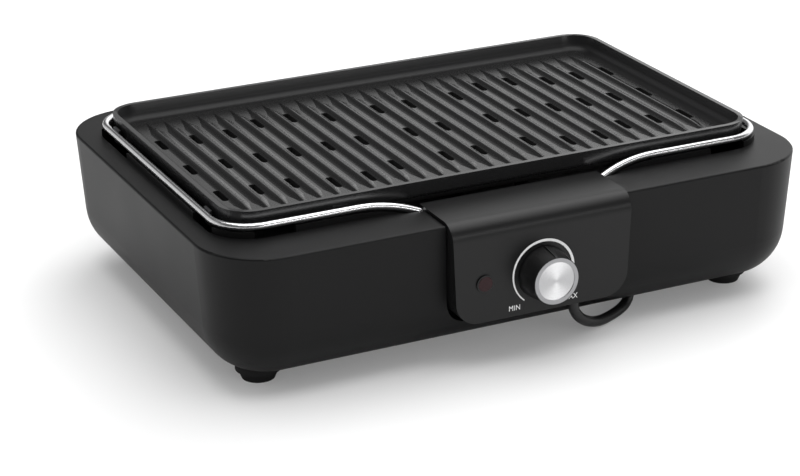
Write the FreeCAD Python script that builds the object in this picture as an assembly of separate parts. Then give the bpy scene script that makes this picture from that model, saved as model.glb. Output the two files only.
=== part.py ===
"""Table-top electric grill: a moulded tub, a lift-out heater unit with its control box, a ribbed plate.

Millimetres, +Z up, the floor at z = 0. The front, with the control box, faces -Y.
The origin lies on the floor under the middle of the grill, knob included, cord not.
"""
import FreeCAD
import Part
import math
import os

V = FreeCAD.Vector

# Housing, the moulded tub
housing_width = 420.0
housing_depth = 302.0
deck_height = 97.0
foot_height = 10.0
housing_corner = 45.0
housing_taper = 6.0
housing_bottom_round = 34.0
deck_edge_round = 1.4
wall = 3.0
deck_thickness = 3.0
floor_thickness = 3.0
overrun = 1.0

# Lip that carries the wire ring; on both sides of each corner of the deck opening a hole takes its place
lip_corner_keep = 18.0
lip_corner_gap = 44.5
lip_side_front_gap = 46.5
lip_side_rear_gap = 70.5
lip_outside = 3.0
lip_inside = 1.6
lip_gap = 0.3

# Feet and their screws
foot_side_inset = 40.0
foot_front_inset = 48.0
foot_rear_inset = 45.0
foot_radius = 14.5
foot_tip_radius = 10.5
foot_tip_flare = 2.5
foot_flange = 4.0
foot_pad_depth = 6.0
foot_bore_clearance = 0.1
boss_radius = 5.0
boss_height = 12.0
screw_radius = 1.75
screw_fit = 0.05
screw_head_radius = 3.5
screw_head_height = 2.0
foot_counterbore = 4.6
foot_screw_length = 16.0

# Control box that hangs over the front wall
unit_width = 126.0
unit_taper = 3.0
unit_proud = 8.0
unit_drop = 65.0
unit_rise = 2.0
unit_depth = 45.5
unit_top_round = 12.0
unit_bottom_corner = 16.0
shell_wall = 2.5
cover_depth = 5.0
seam_gap = 0.4
notch_clearance = 0.8
notch_floor_gap = 4.0
shell_boss_side_inset = 12.0
shell_boss_low_inset = 13.0
shell_boss_high_inset = 20.0
shell_boss_radius = 3.6
shell_screw_length = 12.0
shield_thickness = 0.8
shield_side_inset = 7.0
shield_low_inset = 8.0

# Knob, spindle and thermostat
knob_drop = 39.0
knob_gap = 0.6
knob_depth = 16.4
knob_base_radius = 17.5
knob_face_radius = 15.6
knob_recess_depth = 1.0
bezel_width = 2.6
bezel_stand = 0.4
disc_radius = 12.6
pointer_width = 1.6
pointer_rise = 0.7
pointer_end_gap = 2.2
spindle_radius = 3.0
spindle_fit = 0.05
spindle_hole_clearance = 1.0
spindle_grip = 11.0
spindle_in_thermostat = 12.0
thermostat_width = 30.0
thermostat_depth = 24.0
thermostat_tall = 34.0
thermostat_round = 2.0
bracket_thickness = 1.5
bracket_margin = 4.0

# Indicator lamp, level with the knob
lamp_side_inset = 22.0
lens_radius = 4.8
bezel_radius = 5.8
lamp_bezel_depth = 1.0
lens_stand = 1.2
lamp_radius = 3.8
lamp_length = 22.0
lamp_fit = 0.05

# Terminal block on the rear wall of the control box
block_side_inset = 30.0
block_width = 30.0
block_depth = 12.0
block_tall = 14.0
block_rise = 20.0
block_way_count = 3
block_way_radius = 2.2
block_way_depth = 8.0

# Grill plate, set in from the sides and the rear of the deck and from the back of the control box
deck_side = 23.0
deck_rear = 32.5
plate_front_gap = 5.0
plate_corner = 21.0
plate_height = 14.5
plate_draft = 1.5
plate_floor = 4.0
plate_rim = 3.2
plate_wall_lean = 2.5
plate_cove = 6.0
plate_edge_round = 5.0
rib_pitch = 12.1
rib_base_width = 10.4
rib_top_width = 0.8
rib_height = 2.0
rib_hollow = 0.38
rib_end_gap = 10.0
rib_taper_length = 30.0
rib_root = 0.5
slot_length = 19.5
slot_width = 4.4
slot_near_spacing = 52.5
slot_far_spacing = 63.2
slot_row_shift = -1.5
slot_near_groove_shares = (0, 0.07, 0.14, 0.36, 0.46, 0.54, 0.64, 0.86, 0.93, 1)
slot_far_groove_shares = (0.21, 0.29, 0.71, 0.79)

# Chrome wire ring and the rests welded to it
wire_radius = 2.3
ring_gap = 5.0
ring_lift = 6.5
ring_level_gap = 21.6
ring_drop = 10.5
ring_drop_bend = 95.0
ring_foot_inside = 5.0
ring_foot_bend = 8.0
ring_end_inside = 13.0
ring_end_forward = 5.5
ring_hole_clearance = 0.15
rest_thickness = 1.5
rest_width = 10.0
rest_rise = 5.0
rest_reach = 17.0
rest_weld_gap = 0.05
rest_spread = 165.0

# Heating element and its carriers
element_radius = 3.25
element_drop = 8.5
element_bend = 18.0
element_leg_x = 22.0
element_side_inset = 37.0
element_end_inset = 38.5
element_bay_x = 76.0
element_bay_shift = -36.0
element_leg_inside = 14.0
pin_radius = 1.6
pin_length = 9.0
element_hole_clearance = 0.4
carrier_width = 10.0
carrier_thickness = 1.5
carrier_seat_gap = 0.25

# Drip pan and the posts under it
pan_side_gap = 11.0
pan_end_gap = 17.5
pan_corner = 24.0
pan_clearance = 1.5
pan_tall = 34.0
pan_draft = 8.0
pan_sheet = 1.2
post_side_inset = 56.0
post_end_inset = 45.0
post_radius = 6.0
pan_screw_length = 14.0

# Mains lead: the gland, the route over the floor and the coil behind the grill
cord_radius = 3.5
cord_bend_share = 0.45
cord_exit_x = 28.0
gland_wall = 0.8
gland_room = 0.4
gland_radius = 5.2
gland_tip_radius = 4.3
gland_tip_rise = 1.0
gland_length = 21.0
gland_cap = 2.0
gland_flange_radius = 6.2
gland_flange = 2.5
gland_neck_radius = 4.0
cord_drop_points = (
    (28.0, -134.7, 33.0),
    (28.0, -134.7, 25.5),
    (31.5, -132.8, 18.0),
    (38.5, -129.3, 11.0),
    (47.5, -125.5, 6.0),
    (58.0, -121.5, 3.5),
    (66.0, -117.5, 3.5),
)
cord_run_points = (
    (66.0, -117.5, 3.5),
    (78.0, -111.5, 3.5),
    (90.5, -99.5, 3.5),
    (101.0, -83.5, 3.5),
    (108.5, -64.0, 3.5),
    (113.0, -40.0, 3.5),
    (114.0, -12.0, 3.5),
    (112.0, 18.0, 3.5),
    (108.0, 48.0, 3.5),
    (103.0, 78.0, 3.5),
    (97.5, 108.0, 3.6),
    (92.0, 138.0, 4.0),
    (88.7, 168.0, 4.6),
    (88.0, 196.0, 4.6),
)
cord_tail_points = (
    (32.2, 249.9, 12.1),
    (23.0, 250.1, 12.1),
    (13.5, 250.5, 13.6),
    (4.0, 250.9, 16.0),
    (-4.5, 251.2, 17.6),
    (-13.0, 251.2, 17.6),
)
coil_pitch = 7.5
coil_least_radius = 28.0
coil_turns_in = 2.5
coil_turns_out = 2.25
coil_climb_turns = 0.5
coil_quarter = 4
tie_thickness = 0.8
tie_room = 0.2
tie_width = 9.0
tie_angle = 215.0
plug_radius = 17.6
plug_face_length = 15.0
plug_neck_radius = 10.5
plug_body_length = 38.0
plug_neck_length = 18.0
plug_tip_radius = 4.6
plug_pin_radius = 2.4
plug_pin_length = 19.0
plug_pin_spacing = 19.0
plug_pin_root = 5.0

# Places worked out from the sizes above
housing_y = (unit_proud + knob_gap + knob_depth) / 2
front_y = housing_y - housing_depth / 2
rear_y = housing_y + housing_depth / 2
fascia_y = front_y - unit_proud
unit_rear_y = fascia_y + unit_depth
unit_top = deck_height + unit_rise
unit_bottom = deck_height - unit_drop
knob_height = deck_height - knob_drop
knob_back_y = fascia_y - knob_gap
knob_face_y = knob_back_y - knob_depth
lamp_x = lamp_side_inset - unit_width / 2
lamp_height = knob_height
block_x = block_side_inset - unit_width / 2
shell_seam_height = unit_top - cover_depth
plate_front_y = unit_rear_y + plate_front_gap
plate_rear_y = rear_y - deck_rear
plate_width = housing_width - 2 * deck_side
plate_depth = plate_rear_y - plate_front_y
plate_y = (plate_front_y + plate_rear_y) / 2
plate_bottom = deck_height
plate_floor_top = plate_bottom + plate_floor
plate_top = plate_bottom + plate_height
rib_length = plate_depth - 2 * rib_end_gap
plate_margin = plate_rim + plate_wall_lean + plate_cove
rib_count = int((plate_width - 2 * plate_margin) / rib_pitch)
ring_width = plate_width + 2 * ring_gap
ring_depth = plate_depth + 2 * ring_gap
ring_corner = plate_corner + ring_gap
ring_height = deck_height + ring_lift
ring_front_y = plate_front_y - ring_gap
ring_end_height = ring_height - ring_drop
ring_end_y = ring_front_y - ring_end_forward
ring_end_x = unit_width / 2 - ring_end_inside
ring_foot_x = unit_width / 2 - ring_foot_inside
ring_level_x = unit_width / 2 + ring_level_gap
ring_fall = math.atan2(ring_drop, ring_level_x - ring_foot_x)
ring_fall_start_x = ring_level_x + ring_drop_bend * math.tan(ring_fall / 2)
lip_top = ring_height - wire_radius - lip_gap
element_height = deck_height - element_drop
element_half_width = plate_width / 2 - element_side_inset
element_half_depth = plate_depth / 2 - element_end_inset
carrier_x = (element_bay_x + element_half_width) / 2
carrier_low = element_height - element_radius - carrier_seat_gap - carrier_thickness
pan_width = plate_width - 2 * pan_side_gap
pan_depth = plate_depth - 2 * pan_end_gap
pan_top = carrier_low - pan_clearance
pan_floor = pan_top - pan_tall
gland_tip_height = unit_bottom + gland_tip_rise
gland_top = gland_tip_height + gland_length
gland_well_radius = gland_radius + gland_room + gland_wall
cord_exit_y = fascia_y + cover_depth + seam_gap + gland_well_radius
foot_x = housing_width / 2 - foot_side_inset
foot_rows = (front_y + foot_front_inset, rear_y - foot_rear_inset)
foot_places = [(x, y) for y in foot_rows for x in (-foot_x, foot_x)]
post_x = pan_width / 2 - post_side_inset
post_y = pan_depth / 2 - post_end_inset
post_places = [(x, y) for y in (plate_y - post_y, plate_y + post_y) for x in (-post_x, post_x)]
boss_x = unit_width / 2 - shell_boss_side_inset
boss_heights = (unit_bottom + shell_boss_low_inset, unit_top - shell_boss_high_inset)
shell_boss_places = [(x, z) for z in boss_heights for x in (-boss_x, boss_x)]
X, Y, Z = V(1, 0, 0), V(0, 1, 0), V(0, 0, 1)


def rounded_loop(width, depth, corner, z, y):
    """A closed wire: a rectangle with round corners, level at height z and centred on x = 0."""
    edges = []
    ends = []
    for turn, (side_x, side_y) in enumerate(((1, 1), (-1, 1), (-1, -1), (1, -1))):
        centre = V(side_x * (width / 2 - corner), y + side_y * (depth / 2 - corner), z)
        spots = []
        for share in (0, 1, 2):
            angle = math.radians(90 * turn + 45 * share)
            spots.append(centre + V(math.cos(angle), math.sin(angle), 0) * corner)
        ends.append((spots[0], spots[2]))
        edges.append(Part.Arc(*spots).toShape())
    for first, second in zip(ends, ends[1:] + ends[:1]):
        edges.append(Part.LineSegment(first[1], second[0]).toShape())
    return Part.Wire(Part.__sortEdges__(edges))


def prism(wire, reach):
    """The solid that a flat wire sweeps along a vector."""
    return Part.Face(wire).extrude(reach)


def polygon(points):
    return Part.makePolygon(list(points) + [points[0]])


def slab(x0, x1, y0, y1, z0, z1):
    return Part.makeBox(x1 - x0, y1 - y0, z1 - z0, V(x0, y0, z0))


def rod(radius, start, reach):
    return Part.makeCylinder(radius, reach.Length, start, reach)


def cone(radius, tip_radius, start, reach):
    return Part.makeCone(radius, tip_radius, reach.Length, start, reach)


def joined(shapes):
    return shapes[0].fuse(list(shapes[1:])).removeSplitter()


def edges_at_height(shape, height):
    """The edges of a shape that lie wholly at one height."""
    near = overrun / 100
    boxes = [(e, e.BoundBox) for e in shape.Edges]
    return [e for e, box in boxes if max(abs(box.ZMin - height), abs(box.ZMax - height)) < near]


def screw(start, axis, length, head_radius=screw_head_radius, head=screw_head_height):
    """A pan-head screw: its head stands on start, and its shank runs along axis."""
    shank = rod(screw_radius, start, axis * length)
    cap = rod(head_radius, start, axis * -head)
    return shank.fuse(cap).removeSplitter()


# Housing


def housing_inset(z):
    return housing_taper * (deck_height - z) / (deck_height - foot_height)


def housing_loop(z, offset):
    """The housing's outline at a height, drawn in by an offset."""
    inset = housing_inset(z) + offset
    width = housing_width - 2 * inset
    depth = housing_depth - 2 * inset
    return rounded_loop(width, depth, housing_corner - inset, z, housing_y)


def tub(low, high, offset):
    """The tapered tub with its round bottom edge, no rounder than its upright corners allow."""
    block = Part.makeLoft([housing_loop(low, offset), housing_loop(high, offset)], True, True)
    bottom_round = min(housing_bottom_round, housing_corner - housing_taper - wall)
    return block.makeFillet(bottom_round - offset, edges_at_height(block, low))


def ring_loop(offset, z):
    """The wire ring's outline, drawn out by an offset."""
    return rounded_loop(ring_width + 2 * offset, ring_depth + 2 * offset, ring_corner + offset, z, plate_y)


def ring_slopes():
    """Two blocks whose undersides follow the ends of the wire ring down to the control box."""
    radius = ring_drop_bend - wire_radius - notch_clearance
    centre = V(ring_fall_start_x, front_y, ring_height - ring_drop_bend)
    angles = (0, ring_fall / 2, ring_fall)
    spots = [centre + V(-math.sin(angle), 0, math.cos(angle)) * radius for angle in angles]
    run = spots[2].x - ring_foot_x
    foot = spots[2] - V(run, 0, run * math.tan(ring_fall))
    above = lip_top + overrun
    foot_above = V(foot.x, front_y, above)
    start_above = V(ring_fall_start_x, front_y, above)
    edges = [Part.Arc(*spots).toShape()]
    for a, b in ((spots[2], foot), (foot, foot_above), (foot_above, start_above), (start_above, spots[0])):
        edges.append(Part.LineSegment(a, b).toShape())
    right = prism(Part.Wire(Part.__sortEdges__(edges)), Y * (plate_y - front_y))
    return right.fuse(right.mirror(V(0, 0, 0), X))


def ring_channels():
    """The slopes, no wider than the wire needs as it runs forward: what the deck gives up for it."""
    room = wire_radius + notch_clearance
    back = ring_front_y + wire_radius
    low = ring_end_height - ring_drop_bend
    outline = [(ring_fall_start_x, ring_front_y - room), (ring_foot_x, ring_end_y - room),
               (ring_foot_x, back), (ring_fall_start_x, back)]
    plans = [prism(polygon([V(side * x, y, low) for x, y in outline]), Z * (lip_top + overrun - low))
             for side in (-1, 1)]
    return ring_slopes().common(joined(plans))


def lip_runs():
    """Blocks over the stretches of the ring that have a lip: the sides and the corners, not the gaps."""
    half = ring_width / 2 - lip_corner_gap
    keep = ring_width / 2 - lip_corner_keep
    ring_rear_y = ring_front_y + ring_depth
    side_front = ring_front_y + lip_side_front_gap
    side_rear = ring_rear_y - lip_side_rear_gap
    top = ring_height + wire_radius
    blocks = [slab(-half, half, front_y, rear_y, 0, top),
              slab(-ring_width, ring_width, side_front, side_rear, 0, top)]
    for x0, x1 in ((-ring_width, -keep), (keep, ring_width)):
        blocks.append(slab(x0, x1, front_y, ring_front_y + lip_corner_keep, 0, top))
        blocks.append(slab(x0, x1, ring_rear_y - lip_corner_keep, rear_y, 0, top))
    return joined(blocks)


def ring_lip():
    """The raised lip under the wire ring: on all four sides and at the corners, open beside each corner."""
    lip = prism(ring_loop(lip_outside, deck_height - overrun), Z * (lip_top - deck_height + overrun))
    return lip.common(lip_runs()).cut(ring_slopes())


def deck_opening():
    """The hole in the deck: inside the lip, and out to the lip's outer line where there is none."""
    low = deck_height - deck_thickness - overrun
    reach = Z * (ring_height - low)
    gaps = prism(ring_loop(lip_outside, low), reach).cut(lip_runs())
    return prism(ring_loop(-lip_inside, low), reach).fuse(gaps)


def housing():
    outer = tub(foot_height, deck_height, 0)
    outer = outer.makeFillet(deck_edge_round, edges_at_height(outer, deck_height))
    inner = tub(foot_height + floor_thickness, deck_height - deck_thickness, wall)
    shell = outer.cut(inner)
    adds = [ring_lip()]
    holes = [deck_opening(), control_notch(), ring_channels()]
    floor_top = foot_height + floor_thickness
    bore = screw_radius + screw_fit
    for x, y in foot_places:
        adds.append(rod(foot_radius, V(x, y, foot_height), Z * foot_pad_depth))
        adds.append(rod(boss_radius, V(x, y, foot_height), Z * boss_height))
        holes.append(rod(bore, V(x, y, foot_height - overrun), Z * (boss_height + 2 * overrun)))
    for x, y in post_places:
        adds.append(rod(post_radius, V(x, y, foot_height), Z * (pan_floor - foot_height)))
        holes.append(rod(bore, V(x, y, floor_top), Z * (pan_floor - foot_height)))
    return joined([shell] + adds).cut(joined(holes))


def control_notch():
    """The gap in the front wall and the deck that the control box drops into, open to the plate's opening."""
    rear = ring_front_y + wire_radius
    top = unit_top + ring_lift
    return saddle(-notch_clearance, fascia_y - overrun, rear, top, notch_floor_gap - notch_clearance)


def feet():
    """Four stepped rubber feet, each with a counterbore for its screw."""
    shapes = {}
    names = ("foot_front_left", "foot_front_right", "foot_rear_left", "foot_rear_right")
    for name, (x, y) in zip(names, foot_places):
        flange = rod(foot_radius, V(x, y, foot_height - foot_flange), Z * foot_flange)
        tip_tall = foot_height - foot_flange
        tip = cone(foot_tip_radius, foot_tip_radius + foot_tip_flare, V(x, y, 0), Z * tip_tall)
        bore = rod(screw_radius + foot_bore_clearance, V(x, y, 0), Z * foot_height)
        sink = rod(screw_head_radius + foot_bore_clearance, V(x, y, 0), Z * foot_counterbore)
        shapes[name] = flange.fuse(tip).removeSplitter().cut(bore).cut(sink)
    return shapes


def foot_screws():
    return Part.makeCompound([screw(V(x, y, foot_counterbore), Z, foot_screw_length) for x, y in foot_places])


# Drip pan


def pan_loop(z, offset):
    inset = pan_draft * (pan_top - z) / (pan_top - pan_floor) + offset
    return rounded_loop(pan_width - 2 * inset, pan_depth - 2 * inset, pan_corner - inset, z, plate_y)


def drip_pan():
    outer = Part.makeLoft([pan_loop(pan_floor, 0), pan_loop(pan_top, 0)], True, True)
    low = pan_floor + pan_sheet
    inner = Part.makeLoft([pan_loop(low, pan_sheet), pan_loop(pan_top + overrun, pan_sheet)], True, True)
    holes = [rod(screw_radius + screw_fit, V(x, y, pan_floor - overrun), Z * (pan_sheet + 2 * overrun))
             for x, y in post_places]
    return outer.cut(inner).cut(joined(holes))


def pan_screws():
    top = pan_floor + pan_sheet
    return Part.makeCompound([screw(V(x, y, top), -Z, pan_screw_length) for x, y in post_places])


# Control box


def saddle_half_width(z, inset):
    return unit_width / 2 - inset - unit_taper * (unit_top - z) / (unit_top - unit_bottom)


def saddle(inset, y0, y1, top, lower=0):
    """A block as wide as the control box, drawn in by an inset, with round lower corners."""
    bottom = unit_bottom + inset - lower
    low = saddle_half_width(bottom, inset)
    high = saddle_half_width(top, inset)
    block = prism(polygon([V(-low, y0, bottom), V(low, y0, bottom), V(high, y0, top), V(-high, y0, top)]),
                  V(0, y1 - y0, 0))
    corners = [e for e in edges_at_height(block, bottom) if e.BoundBox.YLength > e.BoundBox.XLength]
    return block.makeFillet(unit_bottom_corner - inset, corners)


def bonnet(inset, rear):
    """A block with the control box's side view: flat top, round front edge, upright face."""
    face = fascia_y + inset
    top = unit_top - inset
    half_span = unit_width
    centre = V(-half_span, fascia_y + unit_top_round, unit_top - unit_top_round)
    radius = unit_top_round - inset
    slant = radius * math.cos(math.radians(45))
    start = centre + V(0, 0, radius)
    middle = centre + V(0, -slant, slant)
    end = centre + V(0, -radius, 0)
    low_front = V(-half_span, face, 0)
    low_rear = V(-half_span, rear, 0)
    high_rear = V(-half_span, rear, top)
    edges = [Part.Arc(start, middle, end).toShape()]
    for a, b in ((end, low_front), (low_front, low_rear), (low_rear, high_rear), (high_rear, start)):
        edges.append(Part.LineSegment(a, b).toShape())
    return prism(Part.Wire(Part.__sortEdges__(edges)), V(2 * half_span, 0, 0))


def unit_body():
    return saddle(0, fascia_y, unit_rear_y, unit_top + overrun).common(bonnet(0, unit_rear_y))


def unit_cavity():
    rear = unit_rear_y - shell_wall
    return saddle(shell_wall, fascia_y, unit_rear_y, unit_top + overrun).common(bonnet(shell_wall, rear))


def ring_sockets():
    """The room, split by the seam, that the ends of the wire ring need in the control box's sides."""
    return sweep(ring_path(), wire_radius + ring_hole_clearance)


def control_front_shell():
    face = fascia_y + shell_wall
    shell = unit_body().cut(unit_cavity()).cut(bonnet(cover_depth, unit_rear_y + overrun))
    boss_reach = unit_rear_y - shell_wall - seam_gap - face
    bosses = [rod(shell_boss_radius, V(x, face - overrun, z), Y * (boss_reach + overrun))
              for x, z in shell_boss_places]
    holes = [rod(screw_radius + screw_fit, V(x, unit_rear_y, z), Y * -(shell_screw_length + 2 * shell_wall))
             for x, z in shell_boss_places]
    through = Y * (shell_wall + 2 * overrun)
    holes.append(rod(spindle_radius + spindle_hole_clearance, V(0, fascia_y - overrun, knob_height), through))
    holes.append(rod(lamp_radius + lamp_fit, V(lamp_x, fascia_y - overrun, lamp_height), through))
    holes.append(ring_sockets())
    return joined([shell] + bosses).cut(joined(holes))


def control_rear_shell():
    inner = bonnet(cover_depth + seam_gap, unit_rear_y + overrun)
    shell = unit_body().common(inner).cut(unit_cavity())
    under = V(cord_exit_x, cord_exit_y, unit_bottom)
    well = rod(gland_well_radius, under, Z * (gland_top + gland_cap - unit_bottom))
    bore_radius = gland_well_radius - gland_wall
    through = Y * -(shell_wall + 2 * overrun)
    rear = unit_rear_y + overrun
    holes = [rod(bore_radius, under - Z * overrun, Z * (gland_top - unit_bottom + overrun)),
             rod(gland_neck_radius + screw_fit, under, Z * (gland_top + gland_cap - unit_bottom + overrun)),
             ring_sockets()]
    for x, z in shell_boss_places:
        holes.append(rod(screw_radius + screw_fit, V(x, rear, z), through))
    for x in (-element_leg_x, element_leg_x):
        holes.append(rod(element_radius + element_hole_clearance, V(x, rear, element_height), through))
    return shell.fuse(well).removeSplitter().cut(joined(holes))


def heat_shield():
    """Steel sheet on the back of the control box, held by the shell screws."""
    half = unit_width / 2 - shield_side_inset
    sheet = slab(-half, half, unit_rear_y, unit_rear_y + shield_thickness,
                 unit_bottom + shield_low_inset, shell_seam_height)
    start_y = unit_rear_y - overrun
    through = Y * (shield_thickness + 2 * overrun)
    holes = [rod(screw_radius + screw_fit, V(x, start_y, z), through) for x, z in shell_boss_places]
    for x in (-element_leg_x, element_leg_x):
        holes.append(rod(element_radius + element_hole_clearance, V(x, start_y, element_height), through))
    return sheet.cut(joined(holes))


def shell_screws():
    rear = unit_rear_y + shield_thickness
    return Part.makeCompound([screw(V(x, rear, z), -Y, shell_screw_length) for x, z in shell_boss_places])


def cord_gland():
    """Strain relief: a flange on the well's cap, a neck through it and a tapered sleeve below."""
    place = V(cord_exit_x, cord_exit_y, gland_top)
    flange = rod(gland_flange_radius, place + Z * gland_cap, Z * gland_flange)
    neck = rod(gland_neck_radius, place, Z * gland_cap)
    sleeve = cone(gland_tip_radius, gland_radius, V(cord_exit_x, cord_exit_y, gland_tip_height),
                  Z * (gland_top - gland_tip_height))
    return joined([flange, neck, sleeve])


def terminal_block():
    rear = unit_rear_y - shell_wall
    low = unit_bottom + block_rise
    block = slab(block_x - block_width / 2, block_x + block_width / 2, rear - block_depth, rear,
                 low, low + block_tall)
    ways = []
    for way in range(block_way_count):
        x = block_x + (way - (block_way_count - 1) / 2) * block_width / block_way_count
        mouth = V(x, rear - block_depth, low + block_tall / 2)
        ways.append(rod(block_way_radius, mouth, Y * block_way_depth))
    return block.cut(joined(ways))


# Indicator lamp


def lamp_bezel():
    face = fascia_y
    flange = rod(bezel_radius, V(lamp_x, face, lamp_height), Y * -lamp_bezel_depth)
    return flange.cut(rod(lens_radius, V(lamp_x, face, lamp_height), Y * -lamp_bezel_depth))


def lamp_lens():
    """A shallow dome that fills the bezel."""
    start = V(lamp_x, fascia_y, lamp_height)
    lens = rod(lens_radius, start, Y * -lens_stand)
    front = [e for e in lens.Edges if abs(e.BoundBox.YMax - (fascia_y - lens_stand)) < overrun / 100]
    return lens.makeFillet(lens_stand - lamp_bezel_depth, front)


def lamp_body():
    return rod(lamp_radius, V(lamp_x, fascia_y, lamp_height), Y * lamp_length)


# Thermostat and knob


def thermostat_bracket():
    """Plate between the thermostat and the fascia, with the spindle's clearance hole."""
    y0 = fascia_y + shell_wall
    half_width = thermostat_width / 2 + bracket_margin
    half_tall = thermostat_tall / 2 + bracket_margin
    sheet = slab(-half_width, half_width, y0, y0 + bracket_thickness,
                 knob_height - half_tall, knob_height + half_tall)
    hole = rod(spindle_radius + spindle_hole_clearance, V(0, y0 - overrun, knob_height),
               Y * (bracket_thickness + 2 * overrun))
    return sheet.cut(hole)


def thermostat_body():
    y0 = fascia_y + shell_wall + bracket_thickness
    block = slab(-thermostat_width / 2, thermostat_width / 2, y0, y0 + thermostat_depth,
                 knob_height - thermostat_tall / 2, knob_height + thermostat_tall / 2)
    long_edges = [e for e in block.Edges if e.BoundBox.YLength > thermostat_round]
    block = block.makeFillet(thermostat_round, long_edges)
    bore_start = V(0, y0 - overrun, knob_height)
    bore = rod(spindle_radius + spindle_fit, bore_start, Y * (spindle_in_thermostat + overrun))
    return block.cut(bore)


def spindle():
    inside = fascia_y + shell_wall + bracket_thickness + spindle_in_thermostat - spindle_hole_clearance
    outside = knob_back_y - spindle_grip
    return rod(spindle_radius, V(0, outside, knob_height), Y * (inside - outside))


def knob_body():
    """A tapered knob with a shallow face recess and a pointer rib along its top."""
    axis_back = V(0, knob_back_y, knob_height)
    body = cone(knob_base_radius, knob_face_radius, axis_back, Y * -knob_depth)
    recess_start = V(0, knob_face_y, knob_height)
    recess = rod(disc_radius + bezel_width, recess_start, Y * knob_recess_depth)
    bore = rod(spindle_radius, axis_back, Y * -spindle_grip)
    rim_gap = knob_face_radius - pointer_rise
    half = pointer_width / 2
    profile = ((knob_back_y, rim_gap), (knob_back_y, knob_base_radius),
               (knob_back_y - pointer_end_gap, knob_base_radius + pointer_rise),
               (knob_face_y + pointer_end_gap, knob_face_radius + pointer_rise),
               (knob_face_y, knob_face_radius), (knob_face_y, rim_gap))
    outline = [V(-half, y, knob_height + rise) for y, rise in profile]
    pointer = prism(polygon(outline), X * pointer_width)
    return body.fuse(pointer).removeSplitter().cut(recess).cut(bore)


def knob_bezel():
    """Bright ring round the knob's face."""
    start = V(0, knob_face_y + knob_recess_depth, knob_height)
    outer = rod(disc_radius + bezel_width, start, Y * -knob_recess_depth)
    return outer.cut(rod(disc_radius, start, Y * -knob_recess_depth))


def knob_disc():
    """Spun metal disc inside the bezel, set a little below it."""
    start = V(0, knob_face_y + knob_recess_depth, knob_height)
    return rod(disc_radius, start, Y * -(knob_recess_depth - bezel_stand))


# Wire ring, rests and element


def sweep(edges, radius):
    """A round bar along a chain of tangent edges."""
    path = Part.Wire(Part.__sortEdges__(edges))
    first = path.OrderedEdges[0]
    start = first.valueAt(first.FirstParameter)
    tangent = first.tangentAt(first.FirstParameter)
    circle = Part.Wire(Part.makeCircle(radius, start, tangent))
    return path.makePipeShell([circle], True, False)


def bent_path(points, radius_at):
    """Straight runs joined by tangent arcs: every second edge is an arc, its radius from radius_at."""
    edges = []
    last = points[0]
    for before, corner, after in zip(points, points[1:], points[2:]):
        into = (corner - before).normalize()
        out = (after - corner).normalize()
        half_turn = into.getAngle(out) / 2
        radius = radius_at(before, corner, after, half_turn)
        setback = radius * math.tan(half_turn)
        start = corner - into * setback
        end = corner + out * setback
        inward = (out - into).normalize()
        middle = corner + inward * (radius / math.cos(half_turn) - radius)
        edges.append(Part.LineSegment(last, start).toShape())
        edges.append(Part.Arc(start, middle, end).toShape())
        last = end
    edges.append(Part.LineSegment(last, points[-1]).toShape())
    return edges


def ring_path():
    """The ring's middle line: round the plate, then down and forward into both sides of the control box."""
    half = ring_width / 2
    front = ring_front_y
    back = ring_front_y + ring_depth
    right = [V(ring_end_x, ring_end_y, ring_end_height), V(ring_foot_x, ring_end_y, ring_end_height),
             V(ring_level_x, front, ring_height), V(half, front, ring_height), V(half, back, ring_height)]
    left = [V(-p.x, p.y, p.z) for p in reversed(right)]

    def bend(before, corner, after, half_turn):
        if before.z == after.z:
            return ring_corner
        return ring_drop_bend if corner.z == ring_height else ring_foot_bend

    return bent_path(right + left, bend)


def wire_ring():
    return sweep(ring_path(), wire_radius)


def plate_rests():
    """Four L tabs welded inside the ring, bent to its line: they reach under the plate's wall."""
    inside = -wire_radius - rest_weld_gap
    low = plate_bottom - rest_thickness
    rise = ring_height + rest_rise / 2 - low
    core = prism(ring_loop(inside - rest_thickness, low), Z * rise)
    band = prism(ring_loop(inside, low), Z * rise).cut(core)
    sheet = band.fuse(prism(ring_loop(inside, low), Z * rest_thickness))
    tabs = []
    for side in (-1, 1):
        for y in (plate_y - rest_spread / 2, plate_y + rest_spread / 2):
            x0 = side * (ring_width / 2 + inside)
            place = sorted_slab(x0, x0 - side * rest_reach, y, rest_width, low, low + rise)
            tabs.append(sheet.common(place).removeSplitter())
    return Part.makeCompound(tabs)


def sorted_slab(xa, xb, y, width, z0, z1):
    return slab(min(xa, xb), max(xa, xb), y - width / 2, y + width / 2, z0, z1)


def heating_element():
    """Tubular heater: in at one leg, round a broad loop with a middle bay, out at the other."""
    z = element_height
    leg_y = unit_rear_y - element_leg_inside
    front = plate_y - element_half_depth
    back = plate_y + element_half_depth
    half = [V(-element_leg_x, leg_y, z), V(-element_leg_x, front, z), V(-element_half_width, front, z),
            V(-element_half_width, back, z), V(-element_bay_x, back, z),
            V(-element_bay_x, plate_y + element_bay_shift, z)]
    other = [V(-p.x, p.y, p.z) for p in reversed(half)]

    def bend(before, corner, after, half_turn):
        return element_bend

    tube = sweep(bent_path(half + other, bend), element_radius)
    pins = [rod(pin_radius, V(x, leg_y, z), Y * -pin_length) for x in (-element_leg_x, element_leg_x)]
    return joined([tube] + pins)


def element_carrier(x):
    """Flat steel strip, turned up at both ends and welded to the ring, that carries the element."""
    front = ring_front_y + wire_radius + rest_weld_gap
    back = ring_front_y + ring_depth - wire_radius - rest_weld_gap
    x0 = x - carrier_width / 2
    x1 = x + carrier_width / 2
    strip = slab(x0, x1, front, back, carrier_low, carrier_low + carrier_thickness)
    ends = [slab(x0, x1, front, front + carrier_thickness, carrier_low, ring_height),
            slab(x0, x1, back - carrier_thickness, back, carrier_low, ring_height)]
    return joined([strip] + ends)


# Grill plate


def plate_loop(offset, z):
    return rounded_loop(plate_width - 2 * offset, plate_depth - 2 * offset, plate_corner - offset, z, plate_y)


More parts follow.
